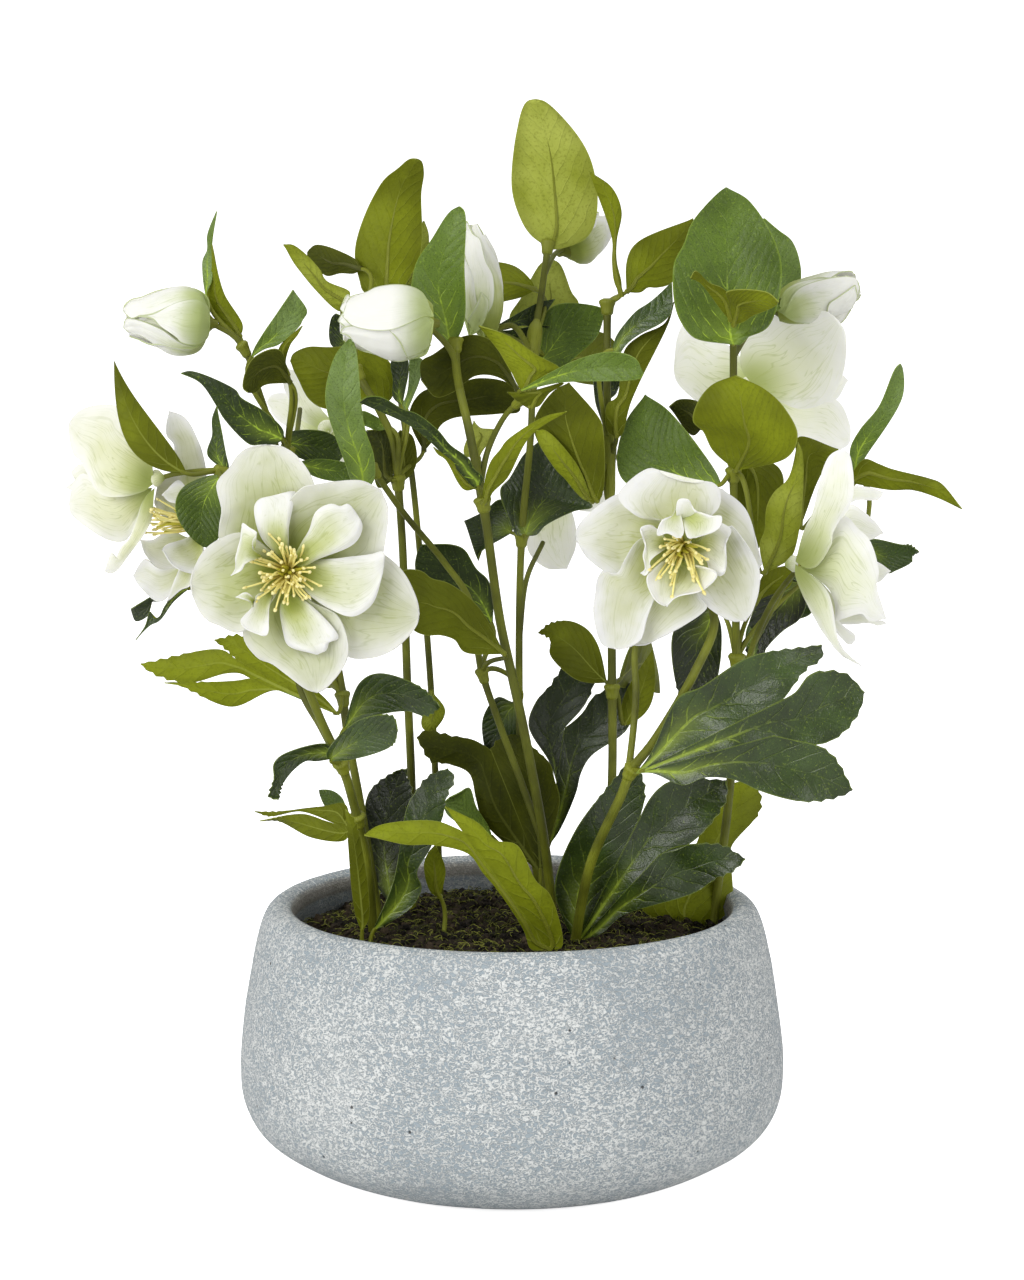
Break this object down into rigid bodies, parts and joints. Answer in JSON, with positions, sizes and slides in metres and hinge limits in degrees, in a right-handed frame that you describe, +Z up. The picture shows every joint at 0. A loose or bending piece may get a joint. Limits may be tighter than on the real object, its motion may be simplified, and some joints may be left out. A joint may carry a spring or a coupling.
{
  "type": "potted hellebore",
  "caption": "Leafy hellebore with white open blossoms and round buds on slender stems, standing in a low round pot of soil.",
  "frame": {"origin": "the middle of the pot's flat base, on the surface that the pot stands on", "axes": "+Z up along the pot's axis, -Y towards the front, where the two open blossoms look, +X to the right seen from the front"},
  "size_m": [0.3677, 0.231, 0.4531],
  "materials": {
    "glaze": "matt, cool grey with fine cream mottling",
    "soil": "dark crumbly soil with strands of moss",
    "stem": "olive green, satin",
    "leaf": "green above with pale veins, olive below",
    "leaf_dark": "dark green with a grey sheen and toothed edges",
    "sepal": "soft white, green towards the base",
    "petal": "soft white-green",
    "stamen": "pale yellow"
  },
  "bodies": {
    "root": {"bud_front": "sepal", "bud_left": "sepal", "bud_middle": "sepal", "bud_right": "sepal", "bud_top": "sepal", "flower_back_left": "sepal", "flower_back_middle": "sepal", "flower_back_right": "sepal", "flower_front_left_petals": "petal", "flower_front_left_sepals": "sepal", "flower_front_left_stamens": "stamen", "flower_front_right_petals": "petal", "flower_front_right_sepals": "sepal", "flower_front_right_stamens": "stamen", "flower_left_away": "sepal", "flower_left_side_heart": "stamen", "flower_left_side_sepals": "sepal", "flower_right_side_heart": "stamen", "flower_right_side_sepals": "sepal", "leaf_back_middle": "leaf", "leaf_back_right": "leaf", "leaf_bud_left": "leaf", "leaf_lobed_right": "leaf_dark", "leaves_back_left_top": "leaf", "leaves_far_left": "leaf", "leaves_far_right": "leaf", "leaves_front": "leaf", "leaves_front_left": "leaf", "leaves_leaning": "leaf", "leaves_leaning_top": "leaf", "leaves_left_crown": "leaf", "leaves_left_lobed": "leaf_dark", "leaves_left_middle": "leaf", "leaves_left_node": "leaf", "leaves_left_upper": "leaf", "leaves_lobed_middle": "leaf_dark", "leaves_lower_left": "leaf", "leaves_middle_fork": "leaf", "leaves_middle_right_low": "leaf", "leaves_middle_right_top": "leaf", "leaves_middle_right_upper": "leaf", "leaves_middle_top": "leaf", "leaves_middle_upper": "leaf", "leaves_right_low": "leaf", "leaves_right_top": "leaf", "leaves_right_upper": "leaf", "leaves_tall_lower": "leaf", "leaves_tall_upper": "leaf", "leaves_top": "leaf", "pot": "glaze", "soil": "soil", "stem_back_left": "stem", "stem_front_left": "stem", "stem_front_right": "stem", "stem_left": "stem", "stem_middle": "stem", "stem_middle_left": "stem", "stem_middle_right": "stem", "stem_right": "stem", "stem_tall": "stem"}
  },
  "joints": []
}
